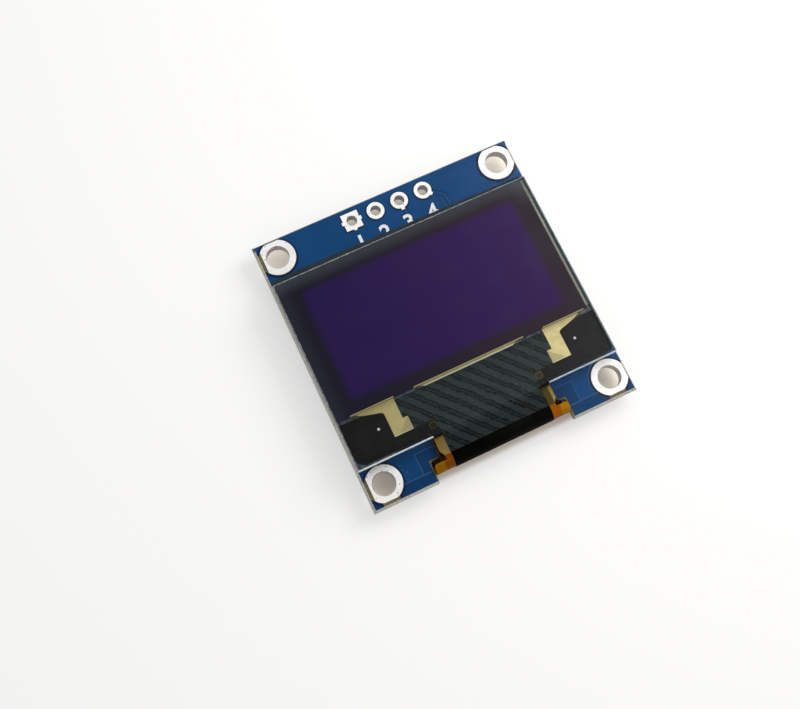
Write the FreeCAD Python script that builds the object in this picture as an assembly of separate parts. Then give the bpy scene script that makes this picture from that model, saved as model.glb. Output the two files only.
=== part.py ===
import FreeCAD, Part
import math
import os

os.makedirs("parts", exist_ok=True)

# All lengths are in mm. The display faces +Z, the header row is towards +Y,
# and Z = 0 is the lowest point of the parts on the board's back.

# Board: laminate core with a thin coat on both faces
board_width = 27.3
board_height = 27.8
laminate_thickness = 1.14
mask_thickness = 0.03
score_depth = 0.35
score_run = 0.2

# Mounting holes, their plating and the flats of their tinned rings
mount_margin_side = 1.9
mount_margin_top = 1.9
mount_margin_bottom = 2.1
mount_hole_r = 1.14
mount_ring_r = 1.76
mount_ring_flat = 1.62
mount_ring_flat_left = 1.38
mount_bare_half = 0.85
plating_thickness = 0.04
flange_thickness = 0.05
mask_gap = 0.05
mask_pullback = 0.1

# Header row
header_count = 4
header_pitch = 2.54
header_x = 0.05
header_margin_top = 1.49
header_hole_r = 0.525
header_pad_r = 0.865
header_spoke_width = 0.34
header_spoke_reach = 0.16

# Notch that the film passes through: a wide mouth and a narrower neck
mouth_x = -0.02
mouth_width = 14.1
mouth_depth = 2.12
neck_x = 0.11
neck_width = 12.24
neck_depth = 4.3
notch_corner_r = 0.35
notch_nib_r = 0.3
corner_share = 0.45

# Panel stack, from the board's face upwards
panel_width = 26.7
panel_height = 19.26
panel_x = -0.15
panel_margin_bottom = 3.86
tape_thickness = 0.17
tape_width = 22.0
tape_height = 3.2
tape_inset = 1.0
rear_glass_thickness = 0.58
seal_thickness = 0.06
seal_width = 0.8
front_glass_thickness = 0.6
glass_edge_break = 0.1
ledge_height = 5.2
polarizer_thickness = 0.2
polarizer_margin_left = 0.12
polarizer_margin_right = 0.69
polarizer_margin_top = 0.22
polarizer_overlap = 0.38
polarizer_corner_r = 0.25
emitter_width = 22.2
emitter_height = 11.2
emitter_offset_x = 0.22
emitter_offset_y = 2.43
emitter_thickness = 0.04

# Film: one amber strip with a wide head behind the ledge. Heights with "rise" in their name
# are measured up from the glass's bottom edge, and half widths from the film's middle.
film_x = 0.04
film_thickness = 0.08
coat_thickness = 0.04
film_half = 6.0
field_half = 5.09
head_rise = 4.68
wing_rise = 4.6
band_rise = 1.55
band_foot_rise = 0.36
patch_drop = 0.03
wing_step_half = 9.14
wing_slope_run = 1.87
wing_slope_rise = 4.56
wing_step_rise = 3.93
wing_step_chamfer = 0.18
wing_corner_left = 1.0
wing_corner_right = 0.4
lead_outer_run = 1.17
lead_inner_half = 7.75
lead_low_half = 7.24
lead_step_rise = 2.84
lead_gap = 0.06
middle_lead_half = 5.69
middle_lead_taper = 1.15
window_bar = 0.12
window_side = 0.1
window_foot_rise = 0.74
fiducial_run = 1.06
fiducial_rise = 2.83
fiducial_r = 0.13
fiducial_sides = 8

# Bend through the notch and the wider end on the back
bend_apex_margin = 0.7
bend_ink_start = 0.26
bend_ink_run = 2.2
waist_half = 5.72
waist_start = 0.74
waist_end = 0.3
flare_x = -0.03
flare_half = 6.94
flare_drop = 0.17
flare_corner_r = 0.28
flare_corner_steps = 3
tail_straight = 0.8
tail_flare_run = 0.9
tail_half = 9.9
tail_length = 4.95

# Driver chip under the film's head
driver_width = 7.6
driver_height = 1.5
driver_thickness = 0.4
driver_rise = 2.6

# Row of joints that holds the film's end on the back
joint_count = 30
joint_pitch = 0.62
joint_width = 0.36
joint_on_film = 1.2
joint_on_board = 0.95
joint_height = 0.18
joint_ramp = 0.3
joint_shoulder = 0.14
joint_crest = 0.12
joint_fall = 0.47
joint_fall_height = 0.09

# Small parts on the back
chip_length = 1.6
chip_width = 0.8
chip_end = 0.3
chip_bevel = 0.07
chip_inset = 0.02
capacitor_height = 0.8
resistor_height = 0.42
resistor_coat = 0.05
fillet_reach = 0.22
fillet_share = 0.5
regulator_length = 2.9
regulator_width = 1.3
regulator_height = 1.0
regulator_standoff = 0.1
regulator_draft = 0.12
regulator_lead_pitch = 0.95
diode_length = 1.7
diode_width = 1.25
diode_height = 0.85
diode_standoff = 0.04
diode_draft = 0.08
lead_thickness = 0.12
lead_reach = 0.55
lead_foot = 0.32
regulator_lead_width = 0.4
diode_lead_width = 0.3

# Places of the small parts as x, y and angle from the board's middle
regulator_place = (-6.4, 6.6, 0.0)
diode_place = (9.9, 2.4, 90.0)
capacitor_places = [
    (-10.2, 6.4, 90.0),
    (-2.9, 6.6, 90.0),
    (6.7, 1.2, 0.0),
    (-8.6, -2.6, 90.0),
    (-5.6, -2.6, 90.0),
    (-2.6, -2.6, 90.0),
    (3.4, -2.6, 90.0),
]
resistor_places = [
    (1.6, 7.6, 90.0),
    (3.8, 7.6, 90.0),
    (7.6, 8.2, 0.0),
    (6.7, 3.6, 0.0),
    (6.4, -2.6, 90.0),
]

# Levels that follow from the sizes above
board_back = regulator_standoff + regulator_height
laminate_back = board_back + mask_thickness
laminate_front = laminate_back + laminate_thickness
board_front = laminate_front + mask_thickness
rear_glass_z = board_front + tape_thickness
seal_z = rear_glass_z + rear_glass_thickness
front_glass_z = seal_z + seal_thickness
polarizer_z = front_glass_z + front_glass_thickness
coat_z = front_glass_z - coat_thickness
film_z = coat_z - film_thickness
board_bottom = -board_height / 2
board_top = board_height / 2
glass_left = panel_x - panel_width / 2
glass_right = panel_x + panel_width / 2
glass_bottom = board_bottom + panel_margin_bottom
glass_top = glass_bottom + panel_height
panel_y = (glass_bottom + glass_top) / 2
ledge_y = glass_bottom + ledge_height
wing_slope_half = wing_step_half + wing_slope_run
lead_outer_half = wing_slope_half + lead_outer_run
fiducial_half = wing_step_half + fiducial_run
plated_r = mount_hole_r + plating_thickness
header_y = board_top - header_margin_top
tail_z = board_back - film_thickness
bend_z = (film_z + tail_z + film_thickness) / 2
bend_inner_r = (film_z - board_back) / 2
bend_outer_r = bend_inner_r + film_thickness
bend_coat_r = bend_outer_r + coat_thickness
bend_y = board_bottom + bend_apex_margin + bend_coat_r
bend_rise = bend_y - glass_bottom
through = 1.0


def vec(x, y, z=0.0):
    return FreeCAD.Vector(x, y, z)


def prism(points, z, height):
    """Upright prism over a closed outline in plan."""
    corners = [vec(x, y, z) for x, y in points]
    face = Part.Face(Part.makePolygon(corners + corners[:1]))
    return face.extrude(vec(0, 0, height))


def side_prism(points, x, width):
    """Prism along X over an outline given as y and z."""
    corners = [vec(x, y, z) for y, z in points]
    face = Part.Face(Part.makePolygon(corners + corners[:1]))
    return face.extrude(vec(width, 0, 0))


def end_prism(points, y, width):
    """Prism along Y over an outline given as x and z."""
    corners = [vec(x, y, z) for x, z in points]
    face = Part.Face(Part.makePolygon(corners + corners[:1]))
    return face.extrude(vec(0, width, 0))


def slab(x0, x1, y0, y1, z, height):
    return Part.makeBox(x1 - x0, y1 - y0, height, vec(x0, y0, z))


def disc(x, y, r, z, height):
    return Part.makeCylinder(r, height, vec(x, y, z))


def upright_edges(shape, places):
    """Vertical edges of a shape that stand at the given places in plan."""
    found = []
    for edge in shape.Edges:
        ends = [v.Point for v in edge.Vertexes]
        if len(ends) == 2 and abs(ends[0].z - ends[1].z) > 1e-6:
            for x, y in places:
                if math.hypot(ends[0].x - x, ends[0].y - y) < 1e-6:
                    found.append(edge)
    return found


def placed(shape, place):
    x, y, angle = place
    moved = shape.copy()
    moved.rotate(vec(0, 0), vec(0, 0, 1), angle)
    moved.translate(vec(x, y))
    return moved


def mirrored_places(x, half, y):
    return [(x - half, y), (x + half, y)]


def save(node, shapes):
    """Writes a node as one solid or as a group of separate solids."""
    if len(shapes) == 1:
        shape = shapes[0]
    else:
        shape = Part.makeCompound(shapes)
    shape.exportStep("parts/" + node + ".step")


# Board, coats and plating
def notch_prism(grow, z, height):
    """The notch in plan, grown on all sides, with square corners."""
    mouth_y = board_bottom + mouth_depth + grow
    neck_y = board_bottom + neck_depth + grow
    half_mouth = mouth_width / 2 + grow
    half_neck = neck_width / 2 + grow
    outline = [
        (mouth_x - half_mouth, board_bottom - through),
        (mouth_x + half_mouth, board_bottom - through),
        (mouth_x + half_mouth, mouth_y),
        (neck_x + half_neck, mouth_y),
        (neck_x + half_neck, neck_y),
        (neck_x - half_neck, neck_y),
        (neck_x - half_neck, mouth_y),
        (mouth_x - half_mouth, mouth_y),
    ]
    return prism(outline, z, height)


def notch_tool(z, height):
    """The routed notch, with rounded inner corners and rounded nibs."""
    tool = notch_prism(0.0, z, height)
    mouth_y = board_bottom + mouth_depth
    half_mouth = mouth_width / 2
    half_neck = neck_width / 2
    nib_room = (half_mouth - half_neck - abs(neck_x - mouth_x)) * corner_share
    corners = mirrored_places(mouth_x, half_mouth, mouth_y)
    tool = tool.makeFillet(min(notch_corner_r, nib_room), upright_edges(tool, corners))
    nibs = mirrored_places(neck_x, half_neck, mouth_y)
    tool = tool.makeFillet(min(notch_nib_r, nib_room), upright_edges(tool, nibs))
    ends = mirrored_places(neck_x, half_neck, board_bottom + neck_depth)
    return tool.makeFillet(notch_corner_r, upright_edges(tool, ends))


def mount_centres():
    x = board_width / 2 - mount_margin_side
    high = board_top - mount_margin_top
    low = board_bottom + mount_margin_bottom
    return [(-x, high), (x, high), (-x, low), (x, low)]


def header_centres():
    first = header_x - header_pitch * (header_count - 1) / 2
    return [(first + header_pitch * i, header_y) for i in range(header_count)]


def make_board():
    half_x = board_width / 2
    half_y = board_height / 2
    low = laminate_back
    high = laminate_front
    across = [
        (-half_x + score_run, low),
        (half_x - score_run, low),
        (half_x, low + score_depth),
        (half_x, high - score_depth),
        (half_x - score_run, high),
        (-half_x + score_run, high),
        (-half_x, high - score_depth),
        (-half_x, low + score_depth),
    ]
    along = [
        (-half_y + score_run, low),
        (half_y - score_run, low),
        (half_y, low + score_depth),
        (half_y, high - score_depth),
        (half_y - score_run, high),
        (-half_y + score_run, high),
        (-half_y, high - score_depth),
        (-half_y, low + score_depth),
    ]
    board = end_prism(across, -half_y, board_height)
    board = board.common(side_prism(along, -half_x, board_width))
    board = board.cut(notch_tool(low - through, laminate_thickness + 2 * through))
    for x, y in mount_centres():
        board = board.cut(disc(x, y, plated_r, low - through, laminate_thickness + 2 * through))
    for x, y in header_centres():
        r = header_hole_r + plating_thickness
        board = board.cut(disc(x, y, r, low - through, laminate_thickness + 2 * through))
    return board


def bare_corner(x, y, z, height):
    """Opening of the coat round a mounting ring, run out to both edges."""
    sign_x = math.copysign(1.0, x)
    sign_y = math.copysign(1.0, y)
    edge_x = sign_x * board_width / 2
    edge_y = sign_y * board_height / 2
    opening = disc(x, y, mount_ring_r + mask_gap, z, height)
    to_side = slab(min(x, edge_x), max(x, edge_x), y - mount_bare_half, y + mount_bare_half, z, height)
    to_end = slab(x - mount_bare_half, x + mount_bare_half, min(y, edge_y), max(y, edge_y), z, height)
    return opening.fuse([to_side, to_end])


def pad_outline(index, x, y, grow, z, height):
    """A header pad in plan: the first is square and the others are round."""
    r = header_pad_r + grow
    if index == 0:
        return slab(x - r, x + r, y - r, y + r, z, height)
    return disc(x, y, r, z, height)


def make_mask(z, front):
    half_x = board_width / 2 - score_run
    half_y = board_height / 2 - score_run
    mask = slab(-half_x, half_x, -half_y, half_y, z, mask_thickness)
    low = z - through
    height = mask_thickness + 2 * through
    mask = mask.cut(notch_prism(mask_pullback, low, height))
    for x, y in mount_centres():
        mask = mask.cut(bare_corner(x, y, low, height))
    for index, (x, y) in enumerate(header_centres()):
        mask = mask.cut(pad_outline(index, x, y, mask_gap, low, height))
        for spoke in spokes(index, x, y, low, height) if front else []:
            mask = mask.cut(spoke)
    return mask


def make_ring(x, y):
    """Tinned ring on both faces with the plated wall between them."""
    height = laminate_thickness + 2 * flange_thickness
    low = laminate_back - flange_thickness
    sign_x = math.copysign(1.0, x)
    sign_y = math.copysign(1.0, y)
    reach = 2 * mount_ring_r
    ring = disc(x, y, mount_ring_r, low, height)
    side_flat = mount_ring_flat if x > 0 else mount_ring_flat_left
    keep_x = sorted([x - sign_x * reach, x + sign_x * side_flat])
    keep_y = sorted([y - sign_y * reach, y + sign_y * mount_ring_flat])
    ring = ring.common(slab(keep_x[0], keep_x[1], keep_y[0], keep_y[1], low, height))
    wall = disc(x, y, reach, laminate_back, laminate_thickness)
    wall = wall.cut(disc(x, y, plated_r, laminate_back, laminate_thickness))
    ring = ring.cut(wall)
    return ring.cut(disc(x, y, mount_hole_r, low - through, height + 2 * through))


def spokes(index, x, y, z, height):
    """Short tinned arms that reach from a pad towards the copper around it."""
    turns = {0: (0.0, 180.0, 270.0), 2: (270.0,), 3: (315.0,)}
    arms = []
    for turn in turns.get(index, ()):
        half = header_spoke_width / 2
        arm = slab(0, header_pad_r + header_spoke_reach, -half, half, z, height)
        arms.append(placed(arm, (x, y, turn)))
    return arms


def make_header_pad(index, x, y):
    low = laminate_back - flange_thickness
    height = laminate_thickness + 2 * flange_thickness
    pad = pad_outline(index, x, y, 0.0, low, height)
    wall = disc(x, y, header_pitch, laminate_back, laminate_thickness)
    wall = wall.cut(disc(x, y, header_hole_r + plating_thickness, laminate_back, laminate_thickness))
    pad = pad.cut(wall)
    for arm in spokes(index, x, y, laminate_front, flange_thickness):
        pad = pad.fuse(arm)
    pad = pad.cut(disc(x, y, header_hole_r, low - through, height + 2 * through))
    return pad.removeSplitter()


# Panel
def make_front_glass():
    glass = slab(glass_left, glass_right, glass_bottom, glass_top, front_glass_z, front_glass_thickness)
    rim = [e for e in glass.Edges if min(v.Point.z for v in e.Vertexes) > polarizer_z - 1e-6]
    return glass.makeChamfer(glass_edge_break, rim)


def make_rear_glass():
    return slab(glass_left, glass_right, ledge_y, glass_top, rear_glass_z, rear_glass_thickness)


def make_seal():
    outer = slab(glass_left, glass_right, ledge_y, glass_top, seal_z, seal_thickness)
    inner = slab(
        glass_left + seal_width,
        glass_right - seal_width,
        ledge_y + seal_width,
        glass_top - seal_width,
        seal_z,
        seal_thickness,
    )
    return outer.cut(inner)


def make_emitter():
    x = panel_x + emitter_offset_x
    y = panel_y + emitter_offset_y
    half_x = emitter_width / 2
    half_y = emitter_height / 2
    z = front_glass_z - emitter_thickness
    return slab(x - half_x, x + half_x, y - half_y, y + half_y, z, emitter_thickness)


def make_polarizer():
    left = glass_left + polarizer_margin_left
    right = glass_right - polarizer_margin_right
    top = glass_top - polarizer_margin_top
    bottom = ledge_y - polarizer_overlap
    sheet = slab(left, right, bottom, top, polarizer_z, polarizer_thickness)
    corners = [(left, top), (right, top), (left, bottom), (right, bottom)]
    return sheet.makeFillet(polarizer_corner_r, upright_edges(sheet, corners))


def make_tape(middle_y):
    half_x = tape_width / 2
    half_y = tape_height / 2
    x = panel_x
    return slab(x - half_x, x + half_x, middle_y - half_y, middle_y + half_y, board_front, tape_thickness)


# Film and what lies on it
def on_side(side, points):
    """Plan points given as half width and rise, put on the left or right side."""
    return [(film_x + side * half, glass_bottom + rise) for half, rise in points]


def glass_edge_half(side):
    edge = glass_right if side > 0 else glass_left
    return side * (edge - film_x)


def make_head():
    """Film behind the ledge, from its wide head down to the start of the bend."""
    left = glass_edge_half(-1)
    right = glass_edge_half(1)
    outline = on_side(-1, [
        (waist_half, bend_rise),
        (waist_half, bend_rise + waist_end),
        (film_half, bend_rise + waist_start),
        (film_half, band_foot_rise),
        (left - wing_corner_left, band_foot_rise),
        (left, band_foot_rise + wing_corner_left),
        (left, wing_rise),
        (wing_step_half, wing_rise),
        (wing_step_half, head_rise),
    ])
    outline += on_side(1, [
        (wing_step_half, head_rise),
        (wing_step_half, wing_rise),
        (right, wing_rise),
        (right, band_foot_rise + wing_corner_right),
        (right - wing_corner_right, band_foot_rise),
        (film_half, band_foot_rise),
        (film_half, bend_rise + waist_start),
        (waist_half, bend_rise + waist_end),
        (waist_half, bend_rise),
    ])
    return prism(outline, film_z, film_thickness)


def arc_sector(r0, r1, start, end, x0, x1):
    """Part of the bend between two radii and two angles, 90 up and 180 outwards."""
    def at(r, angle):
        turn = math.radians(angle)
        return vec(x0, bend_y + r * math.cos(turn), bend_z + r * math.sin(turn))
    middle = (start + end) / 2
    outer = Part.Arc(at(r1, start), at(r1, middle), at(r1, end)).toShape()
    inner = Part.Arc(at(r0, end), at(r0, middle), at(r0, start)).toShape()
    first = Part.makeLine(at(r0, start), at(r1, start))
    last = Part.makeLine(at(r1, end), at(r0, end))
    face = Part.Face(Part.Wire([first, outer, last, inner]))
    return face.extrude(vec(x1 - x0, 0, 0))


def flare_outline():
    """Front of the bend in plan: the waist, then rounded shoulders out to the wide part."""
    shoulder = bend_y - flare_drop
    low = bend_y - bend_outer_r - through
    right = [(film_x + waist_half, bend_y + through), (film_x + waist_half, shoulder)]
    left = [(film_x - waist_half, bend_y + through), (film_x - waist_half, shoulder)]
    for i in range(flare_corner_steps + 1):
        turn = math.pi / 2 * i / flare_corner_steps
        half = flare_half - flare_corner_r * (1 - math.sin(turn))
        y = shoulder - flare_corner_r * (1 - math.cos(turn))
        right.append((flare_x + half, y))
        left.append((flare_x - half, y))
    right.append((flare_x + flare_half, low))
    left.append((flare_x - flare_half, low))
    return right + list(reversed(left))


def make_film():
    left = flare_x - flare_half
    right = flare_x + flare_half
    upper = arc_sector(bend_inner_r, bend_outer_r, 90, 180, left, right)
    upper = upper.common(prism(flare_outline(), bend_z - through, 2 * through + bend_outer_r))
    lower = arc_sector(bend_inner_r, bend_outer_r, 180, 270, left, right)
    tail_y = bend_y + tail_straight
    tail = [
        (left, bend_y),
        (right, bend_y),
        (right, tail_y),
        (film_x + tail_half, tail_y + tail_flare_run),
        (film_x + tail_half, bend_y + tail_length),
        (film_x - tail_half, bend_y + tail_length),
        (film_x - tail_half, tail_y + tail_flare_run),
        (left, tail_y),
    ]
    back = prism(tail, tail_z, film_thickness)
    return make_head().fuse([upper, lower, back]).removeSplitter()


def make_wing(side, corner):
    edge = glass_edge_half(side)
    foot = band_foot_rise
    outline = on_side(side, [
        (edge, wing_rise),
        (wing_slope_half, wing_slope_rise),
        (wing_step_half + wing_step_chamfer, wing_step_rise + wing_step_chamfer),
        (wing_step_half, wing_step_rise),
        (wing_step_half, band_rise),
        (field_half, band_rise),
        (field_half, band_rise - window_bar),
        (film_half - window_side, band_rise - window_bar),
        (film_half - window_side, window_foot_rise),
        (field_half, window_foot_rise),
        (field_half, -patch_drop),
        (film_half, -patch_drop),
        (film_half, foot),
        (edge - corner, foot),
        (edge, foot + corner),
    ])
    wing = prism(outline, coat_z, coat_thickness)
    return wing.cut(make_fiducial(side))


def make_fiducial(side):
    """Small round mark that shows through a hole in a wing."""
    x = film_x + side * fiducial_half
    y = glass_bottom + fiducial_rise
    turns = [2 * math.pi * i / fiducial_sides for i in range(fiducial_sides)]
    outline = [(x + fiducial_r * math.cos(t), y + fiducial_r * math.sin(t)) for t in turns]
    return prism(outline, coat_z, coat_thickness)


def make_side_lead(side):
    top = ledge_height - lead_gap
    outline = on_side(side, [
        (lead_outer_half, top),
        (lead_inner_half, top),
        (lead_inner_half, lead_step_rise),
        (lead_low_half, lead_step_rise),
        (lead_low_half, band_rise),
        (wing_step_half, band_rise),
        (wing_step_half, wing_step_rise),
        (wing_step_half + wing_step_chamfer, wing_step_rise + wing_step_chamfer),
        (wing_slope_half, wing_slope_rise),
    ])
    return prism(outline, coat_z, coat_thickness)


def make_middle_lead():
    top = ledge_height - lead_gap
    low_half = middle_lead_half - middle_lead_taper
    outline = on_side(1, [
        (middle_lead_half, top),
        (-middle_lead_half, top),
        (-low_half, head_rise),
        (low_half, head_rise),
    ])
    return prism(outline, coat_z, coat_thickness)


def make_field():
    """Dark striped copper, wide behind the ledge and narrow down to the bend."""
    foot = bend_y + bend_ink_start - glass_bottom
    right = [
        (lead_inner_half, head_rise),
        (lead_inner_half, lead_step_rise),
        (lead_low_half, lead_step_rise),
        (lead_low_half, band_rise),
        (field_half, band_rise),
        (field_half, foot),
    ]
    outline = on_side(1, right) + list(reversed(on_side(-1, right)))
    return prism(outline, coat_z, coat_thickness)


def make_bend_ink():
    left = film_x - field_half
    right = film_x + field_half
    flat = slab(left, right, bend_y, bend_y + bend_ink_start, coat_z, coat_thickness)
    upper = arc_sector(bend_outer_r, bend_coat_r, 90, 180, left, right)
    lower = arc_sector(bend_outer_r, bend_coat_r, 180, 270, left, right)
    back = slab(left, right, bend_y, bend_y + bend_ink_run, tail_z - coat_thickness, coat_thickness)
    return flat.fuse([upper, lower, back]).removeSplitter()


def make_driver():
    middle = glass_bottom + driver_rise
    half_x = driver_width / 2
    half_y = driver_height / 2
    z = film_z - driver_thickness
    return slab(film_x - half_x, film_x + half_x, middle - half_y, middle + half_y, z, driver_thickness)


def make_joints():
    """Tinned joints that lap the film's end onto the board's pads."""
    end = bend_y + tail_length
    low = tail_z - joint_height
    outline = [
        (end - joint_on_film, tail_z),
        (end - joint_on_film + joint_ramp, tail_z - joint_shoulder),
        (end - joint_crest, low),
        (end + joint_fall, tail_z - joint_fall_height),
        (end + joint_on_board, board_back),
        (end, board_back),
        (end, tail_z),
    ]
    first = film_x - joint_pitch * (joint_count - 1) / 2 - joint_width / 2
    return [side_prism(outline, first + joint_pitch * i, joint_width) for i in range(joint_count)]


# Small parts on the back, each built round X = Y = 0 and hung from the board's back
def bevelled_bar(x0, x1, width, height, bevel):
    half = width / 2
    low = board_back - height
    outline = [
        (-half, board_back),
        (half, board_back),
        (half, low + bevel),
        (half - bevel, low),
        (-half + bevel, low),
        (-half, low + bevel),
    ]
    return side_prism(outline, x0, x1 - x0)


def chip_ends(height):
    half = chip_length / 2
    right = bevelled_bar(half - chip_end, half, chip_width, height, chip_bevel)
    left = bevelled_bar(-half, chip_end - half, chip_width, height, chip_bevel)
    return [right, left]


def chip_body(height):
    half = chip_length / 2 - chip_end
    return bevelled_bar(-half, half, chip_width - 2 * chip_inset, height - chip_inset, chip_bevel)


def resistor_body():
    half = chip_length / 2 - chip_end
    wide = chip_width / 2 - chip_inset
    height = resistor_height - resistor_coat
    return slab(-half, half, -wide, wide, board_back - height, height)


def resistor_top():
    half = chip_length / 2 - chip_end
    wide = chip_width / 2 - chip_inset
    return slab(-half, half, -wide, wide, board_back - resistor_height, resistor_coat)


def chip_fillets(height):
    half = chip_length / 2
    wedges = []
    for side in (-1, 1):
        outline = [
            (side * half, board_back),
            (side * (half + fillet_reach), board_back),
            (side * half, board_back - fillet_share * height),
        ]
        wedges.append(end_prism(outline, -chip_width / 2, chip_width))
    return wedges


def moulded_body(length, width, height, standoff, draft):
    """Moulded package whose sides slope both ways from its middle plane."""
    high = board_back - standoff
    middle = high - height / 2
    low = high - height
    half_x = length / 2
    half_y = width / 2
    across = [
        (-half_x + draft, low),
        (half_x - draft, low),
        (half_x, middle),
        (half_x - draft, high),
        (-half_x + draft, high),
        (-half_x, middle),
    ]
    along = [
        (-half_y + draft, low),
        (half_y - draft, low),
        (half_y, middle),
        (half_y - draft, high),
        (-half_y + draft, high),
        (-half_y, middle),
    ]
    body = end_prism(across, -half_y, width)
    return body.common(side_prism(along, -half_x, length))


def gull_lead(start, middle, width, side):
    """Bent lead along Y from a package's side down to the board."""
    thick = lead_thickness
    foot = board_back - thick
    knee = start + lead_reach - lead_foot
    tip = start + lead_reach
    outline = [
        (start, middle - thick / 2),
        (knee, middle - thick / 2),
        (knee + thick, foot),
        (tip, foot),
        (tip, board_back),
        (knee - thick / 2, board_back),
        (knee - thick / 2, middle + thick / 2),
        (start, middle + thick / 2),
    ]
    lead = side_prism([(side * y, z) for y, z in outline], -width / 2, width)
    return lead


def make_regulator_leads():
    middle = board_back - regulator_standoff - regulator_height / 2
    start = regulator_width / 2
    leads = []
    for x, side in ((-regulator_lead_pitch, 1), (regulator_lead_pitch, 1), (0.0, -1)):
        lead = gull_lead(start, middle, regulator_lead_width, side)
        lead.translate(vec(x, 0))
        leads.append(placed(lead, regulator_place))
    return leads


def make_diode_leads():
    middle = board_back - diode_standoff - diode_height / 2
    start = diode_length / 2
    leads = []
    for side in (1, -1):
        lead = gull_lead(start, middle, diode_lead_width, side)
        lead.rotate(vec(0, 0), vec(0, 0, 1), 90)
        leads.append(placed(lead, diode_place))
    return leads


def save_board():
    save("printed_board", [make_board()])
    save("front_solder_mask", [make_mask(laminate_front, True)])
    save("back_solder_mask", [make_mask(board_back, False)])
    for number, (x, y) in enumerate(mount_centres(), 1):
        save("mounting_ring_%d" % number, [make_ring(x, y)])
    for index, (x, y) in enumerate(header_centres()):
        save("header_pad_%d" % (index + 1), [make_header_pad(index, x, y)])


def save_panel():
    save("front_glass", [make_front_glass()])
    save("rear_glass", [make_rear_glass()])
    save("seal_frame", [make_seal()])
    save("emitter_film", [make_emitter()])
    save("polarizer", [make_polarizer()])
    save("panel_tape_upper", [make_tape(glass_top - tape_inset - tape_height / 2)])
    save("panel_tape_lower", [make_tape(ledge_y + tape_inset + tape_height / 2)])


def save_film():
    save("film_base", [make_film()])
    save("film_ink_left", [make_wing(-1, wing_corner_left)])
    save("film_ink_right", [make_wing(1, wing_corner_right)])
    save("film_fiducials", [make_fiducial(-1), make_fiducial(1)])
    save("film_lead_left", [make_side_lead(-1)])
    save("film_lead_right", [make_side_lead(1)])
    save("film_lead_middle", [make_middle_lead()])
    save("film_field", [make_field()])
    save("film_bend_ink", [make_bend_ink()])
    save("film_solder_joints", make_joints())
    save("driver_chip", [make_driver()])


def save_chips():
    fillets = []
    for number, place in enumerate(capacitor_places, 1):
        save("capacitor_%d_body" % number, [placed(chip_body(capacitor_height), place)])
        save("capacitor_%d_ends" % number, [placed(s, place) for s in chip_ends(capacitor_height)])
        fillets += [placed(s, place) for s in chip_fillets(capacitor_height)]
    coats = []
    for number, place in enumerate(resistor_places, 1):
        save("resistor_%d_body" % number, [placed(resistor_body(), place)])
        save("resistor_%d_ends" % number, [placed(s, place) for s in chip_ends(resistor_height)])
        coats.append(placed(resistor_top(), place))
        fillets += [placed(s, place) for s in chip_fillets(resistor_height)]
    save("resistor_coats", coats)
    save("chip_solder", fillets)
    body = moulded_body(
        regulator_length, regulator_width, regulator_height, regulator_standoff, regulator_draft
    )
    save("regulator_body", [placed(body, regulator_place)])
    save("regulator_leads", make_regulator_leads())
    body = moulded_body(diode_length, diode_width, diode_height, diode_standoff, diode_draft)
    save("diode_body", [placed(body, diode_place)])
    save("diode_leads", make_diode_leads())


save_board()
save_panel()
save_film()
save_chips()
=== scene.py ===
import math

import bmesh
import bpy
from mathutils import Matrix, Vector


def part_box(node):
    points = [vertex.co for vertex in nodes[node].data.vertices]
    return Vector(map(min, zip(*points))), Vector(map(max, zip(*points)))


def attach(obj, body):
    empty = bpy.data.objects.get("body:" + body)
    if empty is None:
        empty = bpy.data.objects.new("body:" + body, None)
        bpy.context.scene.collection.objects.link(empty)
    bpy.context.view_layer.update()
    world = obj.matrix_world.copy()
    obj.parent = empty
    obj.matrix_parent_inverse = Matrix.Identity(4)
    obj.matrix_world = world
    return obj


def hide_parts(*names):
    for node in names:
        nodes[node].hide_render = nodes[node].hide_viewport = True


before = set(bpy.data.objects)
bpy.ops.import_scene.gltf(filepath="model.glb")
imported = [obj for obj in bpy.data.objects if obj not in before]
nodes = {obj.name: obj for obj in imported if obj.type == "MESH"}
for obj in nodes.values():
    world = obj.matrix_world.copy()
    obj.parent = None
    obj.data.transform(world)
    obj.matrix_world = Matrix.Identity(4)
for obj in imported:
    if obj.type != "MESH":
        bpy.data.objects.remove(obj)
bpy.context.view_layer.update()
mm = 0.001


# camera

cameraView = {
    "place": (-20.245, -21.822, 110.763),  # mm from the board's middle
    "turn": (15.7606, -2.539, -25.5069),  # degrees
    "lens": 53.274,
    "sensor": 36.0,
    "shift": (0.0, -0.075),
}


def makeCamera():
    data = bpy.data.cameras.new("viewCamera")
    data.lens = cameraView["lens"]
    data.sensor_width = cameraView["sensor"]
    data.shift_x, data.shift_y = cameraView["shift"]
    data.clip_start = 0.001
    data.clip_end = 20.0
    camera = bpy.data.objects.new("viewCamera", data)
    bpy.context.collection.objects.link(camera)
    camera.location = Vector(cameraView["place"]) * mm
    camera.rotation_euler = [math.radians(angle) for angle in cameraView["turn"]]
    bpy.context.scene.camera = camera


# small helpers for node trees

def put(tree, kind, inputs=None, **settings):
    node = tree.nodes.new("ShaderNode" + kind)
    for name, value in settings.items():
        setattr(node, name, value)
    feed(tree, node, inputs or {})
    return node


def feed(tree, node, inputs):
    for name, value in inputs.items():
        if isinstance(value, bpy.types.NodeSocket):
            tree.links.new(value, node.inputs[name])
        else:
            node.inputs[name].default_value = value


def sums(tree, operation, first, second=0.0, clamp=False):
    node = put(tree, "Math", {0: first, 1: second}, operation=operation, use_clamp=clamp)
    return node.outputs[0]


def plus(tree, first, second, clamp=False):
    return sums(tree, "ADD", first, second, clamp)


def minus(tree, first, second, clamp=False):
    return sums(tree, "SUBTRACT", first, second, clamp)


def times(tree, first, second):
    return sums(tree, "MULTIPLY", first, second)


def farFrom(tree, value, middle):
    return sums(tree, "ABSOLUTE", minus(tree, value, middle))


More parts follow.
